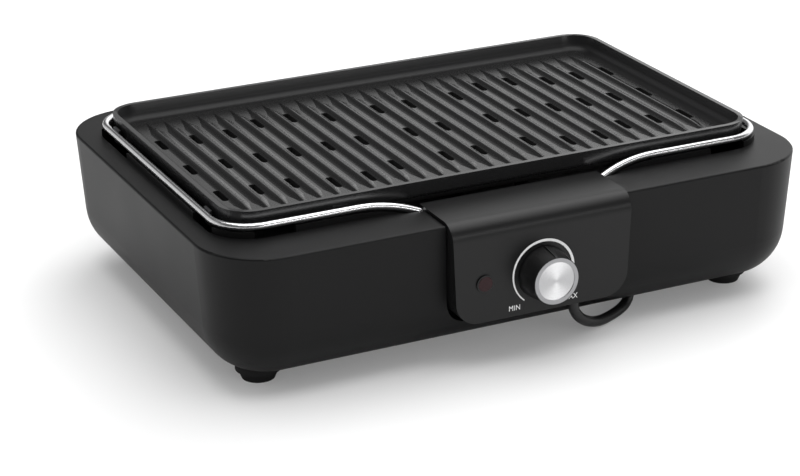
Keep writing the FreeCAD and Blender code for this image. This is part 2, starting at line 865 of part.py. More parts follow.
def rib(x):
    """A low ridge with hollow flanks and a narrow crest that runs out to a point at both ends."""
    base, crest = rib_base_width / 2, rib_top_width / 2
    low, high = plate_floor_top - rib_root, plate_floor_top + rib_height
    tip, shoulder = rib_length / 2, rib_length / 2 - rib_taper_length
    y = plate_y - shoulder
    edges = []
    for side in (-1, 1):
        foot = V(x + side * base, y, plate_floor_top)
        edge = V(x + side * crest, y, high)
        inward = V(-side * rib_height, 0, crest - base).normalize()
        hollow = (foot + edge) * 0.5 + inward * rib_hollow
        edges.append(Part.Arc(foot, hollow, edge).toShape())
        edges.append(Part.LineSegment(V(foot.x, y, low), foot).toShape())
    for z, half in ((low, base), (high, crest)):
        edges.append(Part.LineSegment(V(x - half, y, z), V(x + half, y, z)).toShape())
    front = Part.Wire(Part.__sortEdges__(edges))
    back = front.translated(Y * (2 * shoulder))
    tips = [Part.Vertex(V(x, plate_y + end * tip, low)) for end in (-1, 1)]
    return Part.makeLoft([tips[0], front, back, tips[1]], True, True)


def slot(x, y):
    """A drip slot through the plate's floor, round at both ends."""
    half_run = slot_length / 2 - slot_width / 2
    low, tall = plate_bottom - overrun, plate_floor + 2 * overrun
    middle = slab(x - slot_width / 2, x + slot_width / 2, y - half_run, y + half_run, low, low + tall)
    ends = [rod(slot_width / 2, V(x, y + side * half_run, low), Z * tall) for side in (-1, 1)]
    return joined([middle] + ends)


def grill_plate():
    outer = Part.makeLoft([plate_loop(plate_draft, plate_bottom), plate_loop(0, plate_top)], True, True)
    outer = outer.makeFillet(plate_edge_round, edges_at_height(outer, plate_bottom))
    recess_floor = plate_loop(plate_rim + plate_wall_lean, plate_floor_top)
    recess = Part.makeLoft([recess_floor, plate_loop(plate_rim, plate_top)], True, True)
    recess = recess.makeFillet(plate_cove, edges_at_height(recess, plate_floor_top))
    skim = prism(plate_loop(plate_rim, plate_top), Z * overrun)
    dish = outer.cut(recess.fuse(skim))
    ribs = [rib((i - (rib_count - 1) / 2) * rib_pitch) for i in range(rib_count)]
    slots = []
    near = (slot_near_groove_shares, slot_near_spacing)
    far = (slot_far_groove_shares, slot_far_spacing)
    for shares, spacing in (near, far):
        for groove in sorted({round(share * rib_count) for share in shares}):
            x = (groove - rib_count / 2) * rib_pitch
            slots += [slot(x, plate_y + slot_row_shift + row * spacing) for row in (-1, 0, 1)]
    return dish.fuse(ribs).removeSplitter().cut(joined(slots))


# Mains lead


def cord_bend(before, corner, after, half_turn):
    """As large an arc as the two runs allow."""
    shorter = min((corner - before).Length, (after - corner).Length)
    return cord_bend_share * shorter / math.tan(half_turn)


def cord_stretch(label, points):
    """A tube along hand-set points; prints its radii and compares its volume with section times length."""
    edges = bent_path([V(*p) for p in points], cord_bend)
    tube = sweep(edges, cord_radius)
    length = sum(e.Length for e in edges)
    share = tube.Volume / (math.pi * cord_radius ** 2 * length)
    radii = [round(e.Curve.Radius) for e in edges[1::2]]
    print(label, "length", round(length, 1), "volume share", round(share, 4), "radii", radii)
    return tube, length


def biarc(p0, t0, p1, t1):
    """Two tangent arcs from p0 to p1 with the given unit tangents."""
    span = p1 - p0
    total = t0 + t1
    lean = 2 * (1 - t0.dot(t1))
    along = span.dot(total)
    reach = (-along + math.sqrt(along * along + lean * span.dot(span))) / lean
    joint = (p0 + p1 + (t0 - t1) * reach) * 0.5
    arcs = []
    for start, corner, end in ((p0, p0 + t0 * reach, joint), (joint, p1 - t1 * reach, p1)):
        middle = (start + end) * 0.5
        half_turn = math.atan2((corner - middle).Length, (end - start).Length / 2)
        apex = middle + (corner - middle) * (math.tan(half_turn / 2) / math.tan(half_turn))
        arcs.append(Part.Arc(start, apex, end).toShape())
    return arcs


def coil_state(turn):
    """Radius and height, and their rates per turn, after so many turns of the coil."""
    middle = coil_turns_in + coil_climb_turns / 2
    radius = coil_least_radius + coil_pitch * abs(turn - middle)
    rate = 0 if turn == middle else math.copysign(coil_pitch, turn - middle)
    climb = min(max((turn - coil_turns_in) / coil_climb_turns, 0), 1)
    height = coil_pitch * (1 - math.cos(math.pi * climb)) / 2
    lift = coil_pitch * math.pi * math.sin(math.pi * climb) / (2 * coil_climb_turns)
    return radius, rate, height, lift


def coil_edges():
    """Spiral in on the floor, climb in the half turn where it reverses, spiral out on top."""
    base_z = cord_run_points[-1][2]
    turns = coil_turns_in + coil_climb_turns + coil_turns_out
    frames = []
    for step in range(round(turns * coil_quarter) + 1):
        turn = step / coil_quarter
        angle = 2 * math.pi * turn
        radius, rate, height, lift = coil_state(turn)
        outward = V(math.cos(angle), math.sin(angle), 0)
        ahead = V(-math.sin(angle), math.cos(angle), 0)
        spot = outward * radius + V(0, 0, height)
        tangent = (outward * rate + ahead * (2 * math.pi * radius) + V(0, 0, lift)).normalize()
        frames.append((spot, tangent))
    diameter = 2 * cord_radius
    lead_start = V(*cord_run_points[-1])
    shift = lead_start + frames[0][1] * diameter - frames[0][0]
    shift.z = base_z
    frames = [(spot + shift, tangent) for spot, tangent in frames]
    edges = [Part.LineSegment(frames[0][0] - frames[0][1] * diameter, frames[0][0]).toShape()]
    for (p0, t0), (p1, t1) in zip(frames, frames[1:]):
        edges += biarc(p0, t0, p1, t1)
    end, tangent = frames[-1]
    edges.append(Part.LineSegment(end, end + tangent * diameter).toShape())
    return edges, shift, end + tangent * diameter


def coil_self_gap(edges):
    """Least gap between turns of the coil, measured on points along its middle line."""
    spots = []
    run = 0
    spacing = cord_radius / 2
    for edge in edges:
        count = max(2, int(edge.Length / spacing))
        for k in range(count):
            spots.append((run + edge.Length * k / count, edge.valueAt(
                edge.FirstParameter + (edge.LastParameter - edge.FirstParameter) * k / count)))
        run += edge.Length
    least = run
    apart = coil_least_radius * 2
    for i, (s0, p0) in enumerate(spots):
        for s1, p1 in spots[i + 1:]:
            if s1 - s0 > apart:
                least = min(least, (p1 - p0).Length)
    return least - 2 * cord_radius


def cord_coil():
    edges, centre, end = coil_edges()
    tube = sweep(edges, cord_radius)
    length = sum(e.Length for e in edges)
    share = tube.Volume / (math.pi * cord_radius ** 2 * length)
    print("cord_coil length", round(length, 1), "volume share", round(share, 4),
          "centre", [round(c, 2) for c in centre], "end", [round(c, 2) for c in end],
          "least gap", round(coil_self_gap(edges), 2))
    return tube, length, centre


def coil_tie(centre):
    """A flat band round all the turns at one place of the coil."""
    inner = coil_least_radius - cord_radius - tie_room
    outer = coil_least_radius + coil_pitch * (coil_turns_in + coil_climb_turns / 2) + cord_radius + tie_room
    low = cord_run_points[-1][2] - cord_radius - tie_room
    high = cord_run_points[-1][2] + coil_pitch + cord_radius + tie_room
    half = tie_width / 2
    band = slab(inner - tie_thickness, outer + tie_thickness, -half, half,
                low - tie_thickness, high + tie_thickness)
    band = band.cut(slab(inner, outer, -half, half, low, high))
    band.rotate(V(0, 0, 0), Z, tie_angle)
    band.translate(V(centre.x, centre.y, 0))
    return band


def plug_parts():
    """A round two-pin plug lying on its side: moulded body, neck sleeve and pins."""
    start = V(*cord_tail_points[-1])
    axis = -X
    neck = cone(plug_tip_radius, plug_neck_radius, start, axis * plug_neck_length)
    waist = start + axis * plug_neck_length
    body = cone(plug_neck_radius, plug_radius, waist, axis * (plug_body_length - plug_face_length))
    head_start = waist + axis * (plug_body_length - plug_face_length)
    head = rod(plug_radius, head_start, axis * plug_face_length)
    plug = joined([neck, body, head])
    face = head_start + axis * plug_face_length
    pins = []
    holes = []
    for side in (-1, 1):
        root = face - axis * plug_pin_root + Y * (side * plug_pin_spacing / 2)
        holes.append(rod(plug_pin_radius, root, axis * plug_pin_root))
        pins.append(rod(plug_pin_radius, root, axis * (plug_pin_root + plug_pin_length)))
    return plug.cut(joined(holes)), Part.makeCompound(pins)


def build():
    nodes = {"base_housing": housing(), "foot_screws": foot_screws(), "drip_pan": drip_pan(),
             "pan_screws": pan_screws()}
    nodes.update(feet())
    nodes["control_front_shell"] = control_front_shell()
    nodes["control_rear_shell"] = control_rear_shell()
    nodes["heat_shield"] = heat_shield()
    nodes["shell_screws"] = shell_screws()
    nodes["cord_gland"] = cord_gland()
    nodes["terminal_block"] = terminal_block()
    nodes["lamp_bezel"] = lamp_bezel()
    nodes["lamp_lens"] = lamp_lens()
    nodes["lamp_body"] = lamp_body()
    nodes["thermostat_bracket"] = thermostat_bracket()
    nodes["thermostat_body"] = thermostat_body()
    nodes["spindle"] = spindle()
    nodes["knob_body"] = knob_body()
    nodes["knob_bezel"] = knob_bezel()
    nodes["knob_disc"] = knob_disc()
    nodes["wire_ring"] = wire_ring()
    nodes["plate_rests"] = plate_rests()
    nodes["heating_element"] = heating_element()
    nodes["element_carrier_left"] = element_carrier(-carrier_x)
    nodes["element_carrier_right"] = element_carrier(carrier_x)
    nodes["grill_plate"] = grill_plate()
    nodes["cord_drop"], drop = cord_stretch("cord_drop", cord_drop_points)
    nodes["cord_run"], run = cord_stretch("cord_run", cord_run_points)
    nodes["cord_coil"], wound, centre = cord_coil()
    nodes["cord_tail"], tail = cord_stretch("cord_tail", cord_tail_points)
    nodes["coil_tie"] = coil_tie(centre)
    nodes["plug_body"], nodes["plug_pins"] = plug_parts()
    print("lead length", round(drop + run + wound + tail, 1))
    return nodes


os.makedirs("parts", exist_ok=True)
for name, shape in build().items():
    if not shape.isValid():
        print("not valid:", name)
    shape.exportStep("parts/" + name + ".step")
    box = shape.BoundBox
    reach = [round(side, 1) for side in (box.XMin, box.XMax, box.YMin, box.YMax, box.ZMin, box.ZMax)]
    print(name, len(shape.Solids), "solid(s)", round(shape.Volume), "mm3, reach", reach)
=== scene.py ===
# %% [markdown]
# An electric table grill: a moulded tub, a control box that hangs over its front wall, a chrome wire ring
# and a ribbed cooking plate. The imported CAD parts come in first, in metres, as a frame that nothing here
# moves. Each part that is right as it is only gets its finish. Soft and finely shaped pieces are made anew
# in the place of their solids.

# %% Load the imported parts
import math

import bmesh
import bpy
from mathutils import Matrix, Vector


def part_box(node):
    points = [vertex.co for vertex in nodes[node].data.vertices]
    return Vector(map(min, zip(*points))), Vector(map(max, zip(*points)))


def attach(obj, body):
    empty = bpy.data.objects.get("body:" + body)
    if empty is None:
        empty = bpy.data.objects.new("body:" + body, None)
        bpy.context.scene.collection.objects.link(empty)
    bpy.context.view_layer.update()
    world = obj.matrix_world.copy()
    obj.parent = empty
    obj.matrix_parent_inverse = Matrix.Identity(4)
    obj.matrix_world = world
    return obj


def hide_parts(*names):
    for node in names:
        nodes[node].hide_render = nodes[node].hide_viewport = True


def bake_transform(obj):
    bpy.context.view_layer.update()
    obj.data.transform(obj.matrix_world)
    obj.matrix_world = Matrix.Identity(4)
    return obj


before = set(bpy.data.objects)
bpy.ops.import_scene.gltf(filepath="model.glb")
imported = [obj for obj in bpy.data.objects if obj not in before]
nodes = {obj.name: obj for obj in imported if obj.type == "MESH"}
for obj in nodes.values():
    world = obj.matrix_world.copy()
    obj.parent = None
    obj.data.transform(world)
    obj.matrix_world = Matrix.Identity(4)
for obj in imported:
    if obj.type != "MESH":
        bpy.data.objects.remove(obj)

scene = bpy.context.scene
MM = 0.001
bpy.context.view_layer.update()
print("parts loaded:", len(nodes))

# %% [markdown]
# The camera stands where the photographer stood: left of the middle and a little above the plate, far off
# with a long lens, so that the tub's edges stay nearly parallel. It could be aimed with a Track To
# constraint. Writing its matrix from an azimuth, an elevation and a roll keeps it free of other objects.

# %% Camera
camera_azimuth = math.radians(-25.5)
camera_elevation = math.radians(22.04)
camera_roll = math.radians(-0.71)
camera_distance = 1.56766
camera_target = Vector((-0.04087, -0.02611, 0.045))
camera_film_width = 36.0
camera_lens = 107.27
camera_sight = 30.0


def facing(place, target):
    """A matrix at a place that looks at a target along its own -Z, as cameras and lamps do."""
    look = (target - place).to_track_quat("-Z", "Y")
    return Matrix.Translation(place) @ look.to_matrix().to_4x4()


camera_data = bpy.data.cameras.new("photo_camera")
camera_data.sensor_width = camera_film_width
camera_data.lens = camera_lens
camera_data.clip_end = camera_sight
camera = bpy.data.objects.new("photo_camera", camera_data)
scene.collection.objects.link(camera)
towards_camera = Vector((math.sin(camera_azimuth) * math.cos(camera_elevation),
                         -math.cos(camera_azimuth) * math.cos(camera_elevation),
                         math.sin(camera_elevation)))
camera_place = camera_target + towards_camera * camera_distance
camera.matrix_world = facing(camera_place, camera_target) @ Matrix.Rotation(camera_roll, 4, "Z")
scene.camera = camera
print("camera at", [round(c, 3) for c in camera_place])

# %% [markdown]
# Every finish below is a small sum of patterns. Node trees are long to write by hand, so one class wraps an
# output socket: plus, minus, times and power on it add Math nodes, and its node method adds any other kind.
# The numbers stay readable as sums, and nothing is hidden in a file.

# %% Sums of sockets
class Paint:
    """A node tree and, where it has one, an output socket in it."""

    def __init__(self, tree, output=None):
        self.tree = tree
        self.output = output

    def node(self, kind, settings=None, inputs=None, result=0):
        """Adds a node: its settings, then values or links for its inputs. Gives one of its outputs."""
        made = self.tree.nodes.new(kind)
        for name, value in (settings or {}).items():
            setattr(made, name, value)
        for name, value in (inputs or {}).items():
            if isinstance(value, Paint):
                self.tree.links.new(value.output, made.inputs[name])
            elif isinstance(value, list):
                for part in value:
                    self.tree.links.new(part.output, made.inputs[name])
            else:
                made.inputs[name].default_value = value
        return Paint(self.tree, made.outputs[result] if made.outputs else None)

    def math(self, operation, first, second=0.0):
        return self.node("ShaderNodeMath", {"operation": operation}, {0: first, 1: second})

    def __add__(self, other):
        return self.math("ADD", self, other)

    __radd__ = __add__

    def __sub__(self, other):
        return self.math("SUBTRACT", self, other)

    def __mul__(self, other):
        return self.math("MULTIPLY", self, other)

    __rmul__ = __mul__

    def __pow__(self, other):
        return self.math("POWER", self, other)


def new_finish(name):
    """A material with an empty tree, and the tree to paint it with."""
    material = bpy.data.materials.new(name)
    material.use_nodes = True
    material.node_tree.nodes.clear()
    return material, Paint(material.node_tree)


def show(paint, shader):
    """Makes a shader what a finish shows."""
    paint.node("ShaderNodeOutputMaterial", inputs={"Surface": shader})


print("socket sums ready")

# %% [markdown]
# The grill stands on a white sweep of paper. One large pale floor catches the soft shadow. It is a little
# whiter for the camera and a little greyer for what mirrors it, as real paper away from the lamps would be.
# A curved backdrop would do too, but from this height the photo's camera sees nothing behind the floor.

# %% Floor
floor_reach = 12.0
floor_pale = (0.86, 0.86, 0.86, 1.0)
floor_mirrored = (0.7, 0.7, 0.7, 1.0)
floor_white_share = 0.16
white = (1.0, 1.0, 1.0, 1.0)


def ray_is(paint, kind):
    """1 where a ray of the named kind looks, 0 elsewhere."""
    return paint.node("ShaderNodeLightPath", result="Is " + kind + " Ray")


def mixed(paint, share, first, second):
    """A colour that goes from the first to the second as a share goes from 0 to 1."""
    # Inputs 6 and 7 and output 2 of a Mix node are its colours.
    return paint.node("ShaderNodeMix", {"data_type": "RGBA"}, {0: share, 6: first, 7: second}, 2)


half_floor = floor_reach / 2
floor_corners = [(-half_floor, -half_floor, 0), (half_floor, -half_floor, 0),
                 (half_floor, half_floor, 0), (-half_floor, half_floor, 0)]
floor_mesh = bpy.data.meshes.new("paper_floor")
floor_mesh.from_pydata(floor_corners, [], [(0, 1, 2, 3)])
floor = bpy.data.objects.new("paper_floor", floor_mesh)
scene.collection.objects.link(floor)
floor_finish, paint = new_finish("white_paper")
paper_tone = mixed(paint, ray_is(paint, "Glossy"), floor_pale, floor_mirrored)
lit_paper = paint.node("ShaderNodeBsdfDiffuse", inputs={"Color": paper_tone})
bare_white = paint.node("ShaderNodeEmission", inputs={"Color": white, "Strength": 1.0})
seen = ray_is(paint, "Camera") * floor_white_share
show(paint, paint.node("ShaderNodeMixShader", inputs={0: seen, 1: lit_paper, 2: bare_white}))
floor_mesh.materials.append(floor_finish)
print("floor", floor_reach, "m across")

# %% [markdown]
# Black plastic and chrome show little but what they mirror, so the sky is not even. It is white where the
# photographer's screens stood, a tall one behind and to the right and a low one behind and to the left, and
# dim between them and at the camera's back. A picture of a studio would do the same, but it would have to be
# read from a file, and its screens could not be moved.

# %% Sky
sky_level = 0.95
sky_dim = 0.1
screen_bright = 1.4
tall_screen_right = (0.12, 0.6)
tall_screen_back = (-0.3, 0.2)
low_screen_left = (-0.12, -0.35)
low_screen_back = (0.0, 0.4)
low_screen_top = (0.62, 0.4)
low_screen_share = 0.4
light_between_screens = 0.6
light_of_screens = 0.8


def coordinate(paint, vector, axis):
    return paint.node("ShaderNodeSeparateXYZ", inputs={"Vector": vector}, result=axis)


def ramp(paint, value, start, end, kind="SMOOTHSTEP"):
    """0 up to the start and 1 from the end on. The start may be the greater of the two."""
    return paint.node("ShaderNodeMapRange", {"interpolation_type": kind},
                      {"Value": value, "From Min": start, "From Max": end})


sky = bpy.data.worlds.new("white_sky")
sky.use_nodes = True
sky.node_tree.nodes.clear()
scene.world = sky
paint = Paint(sky.node_tree)
way = paint.node("ShaderNodeTexCoord", result="Generated")
way_right, way_back, way_up = [coordinate(paint, way, axis) for axis in "XYZ"]
tall_screen = ramp(paint, way_right, *tall_screen_right) * ramp(paint, way_back, *tall_screen_back)
low_screen = ramp(paint, way_right, *low_screen_left) * ramp(paint, way_back, *low_screen_back)
low_screen = low_screen * ramp(paint, way_up, *low_screen_top) * low_screen_share
screens = paint.math("MAXIMUM", tall_screen, low_screen)
mirrored = sky_dim + screens * (screen_bright - sky_dim)
falling = sky_level * (light_between_screens + screens * light_of_screens)
strength = ray_is(paint, "Glossy") * (mirrored - falling) + falling
strength = paint.math("MAXIMUM", strength, ray_is(paint, "Camera"))
sky_glow = paint.node("ShaderNodeBackground", inputs={"Color": white, "Strength": strength})
paint.node("ShaderNodeOutputWorld", inputs={"Surface": sky_glow})
scene.view_settings.view_transform = "Standard"
print("sky at", sky_level, "with screens at", screen_bright)

# %% [markdown]
# Three softboxes. A wide one behind and to the right lights that side, and nothing mirrors it, because the
# sky's tall screen stands there already. One overhead sets the soft shadow. A low strip in front draws the
# thin line along the bend of the control box and keeps the front from sinking into black. Glowing panels
# would do the same, but area lamps leave no geometry in view.

# %% Softboxes
# Each has its place, its width and depth, its power, and whether gloss mirrors it.
softboxes = {
    "screen_box": ((1.1, 1.25, 1.1), (1.3, 1.0), 12.0, False),
    "overhead_box": ((0.1, -0.05, 1.7), (1.9, 1.9), 27.0, True),
    "front_box": ((0.55, -1.75, 0.62), (1.1, 0.22), 3.6, True),
}
for name, (place, (width, depth), power, in_gloss) in softboxes.items():
    lamp = bpy.data.lights.new(name, "AREA")
    lamp.shape = "RECTANGLE"
    lamp.size = width
    lamp.size_y = depth
    lamp.energy = power
    lamp_object = bpy.data.objects.new(name, lamp)
    lamp_object.matrix_world = facing(Vector(place), camera_target)
    lamp_object.visible_glossy = in_gloss
    scene.collection.objects.link(lamp_object)
print("softboxes:", ", ".join(softboxes))

# %% [markdown]
# The mains lead leaves the control box downwards, swings to the right on the table, passes under the tub and
# is put away behind it in a tied coil of two layers. Its control points are written out, the coil's come
# from a loop, and one NURBS spline rounds them all off. Such a spline stays inside its corners, so the lead
# lies on the table and never under it.

# %% Route of the mains lead
lead_diameter = 7.0 * MM
lead_order = 3
lead_steps = 6
lead_start_points = [
    (28.0, -134.7, 33.0), (28.0, -134.7, 25.5), (31.5, -132.8, 18.0), (38.5, -129.3, 11.0),
    (47.5, -125.5, 6.0), (58.0, -121.5, 3.5), (78.0, -111.5, 3.5), (90.5, -99.5, 3.5), (101.0, -83.5, 3.5),
    (108.5, -64.0, 3.5), (113.0, -40.0, 3.5), (114.0, -12.0, 3.5), (112.0, 18.0, 3.5), (108.0, 48.0, 3.5),
    (103.0, 78.0, 3.5), (97.5, 108.0, 3.6), (92.0, 138.0, 4.0), (88.7, 168.0, 4.6), (88.0, 196.0, 4.6),
]
lead_end_points = [(23.0, 250.1, 12.1), (13.5, 250.5, 13.6), (4.0, 250.9, 16.0), (-4.5, 251.2, 17.6),
                   (-13.0, 251.2, 17.6)]
coil_middle = (39.2, 203.0, 4.6)
coil_pitch = 7.5
coil_least_radius = 28.0
coil_turns_in = 2.5
coil_climb_turns = 0.5
coil_turns_out = 2.25
coil_points_per_turn = 16


def coil_point(turn):
    """Where the coil is after so many turns: in on the table, up, and out again on top."""
    reverse = coil_turns_in + coil_climb_turns / 2
    corner_share = math.cos(math.pi / coil_points_per_turn) ** 2
    radius = (coil_least_radius + coil_pitch * abs(turn - reverse)) / corner_share
    climb = min(max((turn - coil_turns_in) / coil_climb_turns, 0), 1)
    angle = 2 * math.pi * turn
    return (coil_middle[0] + radius * math.cos(angle), coil_middle[1] + radius * math.sin(angle),
            coil_middle[2] + coil_pitch * (1 - math.cos(math.pi * climb)) / 2)


def taken_mesh(holder):
    """The plain mesh of an object with its modifiers applied. The object itself goes."""
    scene.collection.objects.link(holder)
    mesh = bpy.data.meshes.new_from_object(holder.evaluated_get(bpy.context.evaluated_depsgraph_get()))
    bpy.data.objects.remove(holder)
    return mesh


coil_steps = round((coil_turns_in + coil_climb_turns + coil_turns_out) * coil_points_per_turn)
coil_points = [coil_point(step / coil_points_per_turn) for step in range(1, coil_steps + 1)]
lead_points = lead_start_points + coil_points + lead_end_points

lead_curve = bpy.data.curves.new("lead_route", "CURVE")
lead_curve.dimensions = "3D"
lead_curve.resolution_u = lead_steps
lead_spline = lead_curve.splines.new("NURBS")
lead_spline.points.add(len(lead_points) - 1)
for control, spot in zip(lead_spline.points, lead_points):
    control.co = [c * MM for c in spot] + [1.0]
lead_spline.order_u = lead_order
lead_spline.use_endpoint_u = True
route_mesh = taken_mesh(bpy.data.objects.new("lead_route", lead_curve))
lead_path = [vertex.co.copy() for vertex in route_mesh.vertices]
lead_length = sum((b - a).length for a, b in zip(lead_path, lead_path[1:]))
print("lead:", len(lead_points), "control points,", round(lead_length, 3), "m")

# %% [markdown]
# The sheath itself is a tube round that line. A bevelled curve would do for a lead that lies still. This one
# has to stretch when the control box is lifted out, so it is a mesh, and its rings are carried along the
# line without twisting.

# %% Sheath of the mains lead
lead_sides = 14


def new_piece(name, mesh, finish=None):
    """An object at the origin, with its place in its mesh."""
    piece = bpy.data.objects.new(name, mesh)
    scene.collection.objects.link(piece)
    if finish is not None:
        mesh.materials.append(finish)
    return piece


def circle_turns(count):
    """The angles of so many places spread evenly round a circle."""
    return [2 * math.pi * k / count for k in range(count)]


def bridge(form, rings):
    """Quads from each ring of vertices to the next, one ring after the other."""
    faces = []
    for low, high in zip(rings, rings[1:]):
        for k in range(len(low)):
            after = (k + 1) % len(low)
            faces.append(form.faces.new((low[k], low[after], high[after], high[k])))
    return faces


def close_ends(form, rings):
    form.faces.new(list(reversed(rings[0])))
    form.faces.new(rings[-1])


def mesh_from(form, name):
    """The mesh of a finished bmesh, which is freed."""
    mesh = bpy.data.meshes.new(name)
    form.to_mesh(mesh)
    form.free()
    return mesh


def tube_mesh(name, path, radius, sides):
    """A closed tube round a line of points, with a UV map that runs along it in metres."""
    form = bmesh.new()
    uv = form.loops.layers.uv.new("along")
    rings = []
    travelled = [0.0]
    side_way = Vector((1, 0, 0))
    for index, spot in enumerate(path):
        before = path[max(index - 1, 0)]
        after = path[min(index + 1, len(path) - 1)]
        ahead = (after - before).normalized()
        side_way = (side_way - ahead * side_way.dot(ahead)).normalized()
        up_way = ahead.cross(side_way)
        outward = [side_way * math.cos(t) + up_way * math.sin(t) for t in circle_turns(sides)]
        rings.append([form.verts.new(spot + way_out * radius) for way_out in outward])
        if index:
            travelled.append(travelled[-1] + (spot - before).length)
    for number, face in enumerate(bridge(form, rings)):
        step, k = divmod(number, sides)
        face.smooth = True
        corners = ((k, step), (k + 1, step), (k + 1, step + 1), (k, step + 1))
        for loop, (round_k, along) in zip(face.loops, corners):
            loop[uv].uv = (round_k / sides, travelled[along])
    close_ends(form, rings)
    return mesh_from(form, name)


lead = new_piece("mains_lead", tube_mesh("mains_lead", lead_path, lead_diameter / 2, lead_sides))
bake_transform(lead)
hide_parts("cord_drop", "cord_run", "cord_coil", "cord_tail")
print("sheath:", len(lead.data.polygons), "faces")

# %% [markdown]
# The tub, the control box, the knob and the plug are moulded plastic. What tells them apart is the mould:
# the tub's was etched for a matte grain, the box's was finer. Fine noise in the bump gives the etch, slow
# noise in the roughness gives the faint cloudiness that every large moulding has, and a low specular level
# keeps black plastic black under a white sky. Rubber and the sprayed coats of the pan and the heat shield
# have a fine grain too, so the same function makes them. Scanned textures would need images.

# %% Moulded plastics and sprayed coats
etch_detail = 3.0
etch_roughness = 0.6
cloud_scale = 14.0
cloud_detail = 2.0
cloud_share = 0.7
shade_spread = 0.14
roughness_spread = 0.1
cool_tint = (1.0, 1.0, 1.03)
cream_tint = (1.0, 0.98, 0.92)


def own_place(paint):
    """The place on a part, in metres from the frame's origin."""
    return paint.node("ShaderNodeTexCoord", result="Object")


def noise(paint, place, scale, detail, roughness=0.5):
    return paint.node("ShaderNodeTexNoise", inputs={"Vector": place, "Scale": scale, "Detail": detail,
                                                    "Roughness": roughness})


def bumped(paint, height, depth):
    """The normal of a relief that is a depth in metres from a height of 0 to a height of 1."""
    return paint.node("ShaderNodeBump", inputs={"Strength": 1.0, "Distance": depth, "Height": height})


def moulded(name, shade, roughness, grain, depth, specular, tint=cool_tint):
    """Plastic from an etched mould: grain is the etch's spacing and depth its height, in metres."""
    material, paint = new_finish(name)
    place = own_place(paint)
    etch = noise(paint, place, 1 / grain, etch_detail, etch_roughness)
    cloud = noise(paint, place, cloud_scale, cloud_detail)
    dark = tuple((1 - shade_spread) * shade * t for t in tint) + (1.0,)
    light = tuple((1 + shade_spread) * shade * t for t in tint) + (1.0,)
    shader = paint.node("ShaderNodeBsdfPrincipled", inputs={
        "Base Color": mixed(paint, cloud * cloud_share + etch * (1 - cloud_share), dark, light),
        "Roughness": roughness - roughness_spread / 2 + cloud * roughness_spread,
        "Normal": bumped(paint, etch, depth), "Specular IOR Level": specular})
    show(paint, shader)
    return material


def dress(material, *names):
    """Gives CAD nodes a finish through their own material slots."""
    for name in names:
        for slot in nodes[name].material_slots:
            slot.material = material


# Each has its shade, roughness, grain, depth and specular level, and the CAD nodes that wear it.
moulded_looks = {
    "tub_plastic": (0.005, 0.42, 0.0006, 0.00003, 0.2, ["base_housing"]),
    "box_plastic": (0.007, 0.36, 0.0005, 0.00002, 0.31, ["control_front_shell", "control_rear_shell"]),
    "knob_plastic": (0.006, 0.42, 0.0004, 0.00002, 0.25, ["knob_body"]),
    "foot_rubber": (0.011, 0.75, 0.0008, 0.00006, 0.25,
                    ["foot_front_left", "foot_front_right", "foot_rear_left", "foot_rear_right"]),
    "lead_sheath": (0.011, 0.36, 0.0011, 0.00003, 0.48, ["cord_gland"]),
    "plug_plastic": (0.013, 0.5, 0.0006, 0.00004, 0.3, []),
    "tie_plastic": (0.018, 0.6, 0.0005, 0.00006, 0.3, []),
    "lamp_ring": (0.006, 0.22, 0.0006, 0.00001, 0.3, ["lamp_bezel"]),
    "shield_coat": (0.016, 0.6, 0.0009, 0.00006, 0.3, ["heat_shield", "thermostat_bracket", "spindle"]),
    "pan_coat": (0.010, 0.5, 0.0012, 0.00003, 0.25, ["drip_pan"]),
}
finishes = {}
for name, (*look, wearers) in moulded_looks.items():
    finishes[name] = moulded(name, *look)
    dress(finishes[name], *wearers)
block_plastic = moulded("block_plastic", 0.66, 0.5, 0.0008, 0.00003, 0.5, cream_tint)
dress(block_plastic, "terminal_block", "thermostat_body")
lead.data.materials.append(finishes["lead_sheath"])
print("moulded and sprayed:", ", ".join(finishes), "and block_plastic")

# %% [markdown]
# The wire, the knob's ring, the rests, the screws and the plug's pins are bright metal. A shader with one
# colour and one roughness would look like a drawing of metal, so noise moves both a little. One function
# serves all five, because only colour, roughness and the fineness of the marks differ.

# %% Metals
mark_detail = 3.0
dull_share = 0.9
clean_share = 1.06


def metal(name, colour, roughness, spread, marks):
    """A metal whose tone and roughness wander, the roughness by a spread. Marks is the noise's scale."""
    material, paint = new_finish(name)
    mark = noise(paint, own_place(paint), marks, mark_detail)
    dull = tuple(dull_share * c for c in colour) + (1.0,)
    clean = tuple(clean_share * c for c in colour) + (1.0,)
    shader = paint.node("ShaderNodeBsdfPrincipled", inputs={
        "Base Color": mixed(paint, mark, dull, clean), "Metallic": 1.0,
        "Roughness": roughness - spread / 2 + mark * spread})
    show(paint, shader)
    return material


# Each has its colour, roughness, spread and marks, and the CAD nodes that wear it.
metal_looks = {
    "wire_chrome": ((0.86, 0.86, 0.87), 0.24, 0.04, 60.0, ["wire_ring"]),
    "ring_chrome": ((0.38, 0.38, 0.39), 0.3, 0.06, 300.0, ["knob_bezel"]),
    "rest_steel": ((0.24, 0.24, 0.25), 0.3, 0.1, 200.0,
                   ["plate_rests", "element_carrier_left", "element_carrier_right"]),
    "screw_zinc": ((0.55, 0.55, 0.56), 0.32, 0.14, 400.0, []),
    "pin_nickel": ((0.72, 0.71, 0.69), 0.16, 0.08, 400.0, []),
}
for name, (*look, wearers) in metal_looks.items():
    finishes[name] = metal(name, *look)
    dress(finishes[name], *wearers)
print("metals:", ", ".join(metal_looks))

